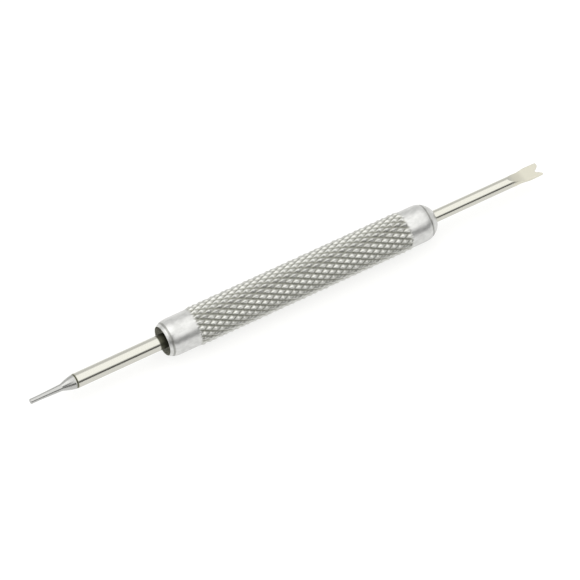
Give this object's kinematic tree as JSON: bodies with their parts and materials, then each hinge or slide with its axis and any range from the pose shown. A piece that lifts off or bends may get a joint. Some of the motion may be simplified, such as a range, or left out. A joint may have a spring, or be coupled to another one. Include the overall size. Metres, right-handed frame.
{
  "type": "spring bar tool",
  "caption": "Slim watch-strap tool: a diamond-knurled metal handle with a screw-in fine pin point at one end and a flat notched fork blade at the other.",
  "frame": {"origin": "middle of the tool's length, on the axis of the handle", "axes": "+X along the tool towards the fork, +Z square to the flat of the fork blade, +Y across the blade"},
  "size_m": [0.114, 0.008, 0.008],
  "materials": {
    "handle_metal": "satin turned collars, diamond-knurled grip",
    "bush_metal": "dark, blackened, fine turned face",
    "shank_plating": "polished, slightly warm nickel",
    "point_steel": "fine ground",
    "fork_plating": "polished rod, softer pressed and ground blade"
  },
  "bodies": {
    "handle": {"handle": "handle_metal"},
    "pin_holder": {"pin_end_bush": "bush_metal", "pin_shank": "shank_plating"},
    "pin_point": {"pin_point": "point_steel"},
    "fork_blade": {"fork_shank": "fork_plating"}
  },
  "joints": [
    {"name": "pin_holder_unscrew", "type": "slide", "parent": "handle", "child": "pin_holder", "axis": [-1, 0, 0], "range_m": [0, 0.01]},
    {"name": "pin_point_unscrew", "type": "slide", "parent": "pin_holder", "child": "pin_point", "axis": [-1, 0, 0], "range_m": [0, 0.006]},
    {"name": "fork_unscrew", "type": "slide", "parent": "handle", "child": "fork_blade", "axis": [1, 0, 0], "range_m": [0, 0.01]}
  ]
}
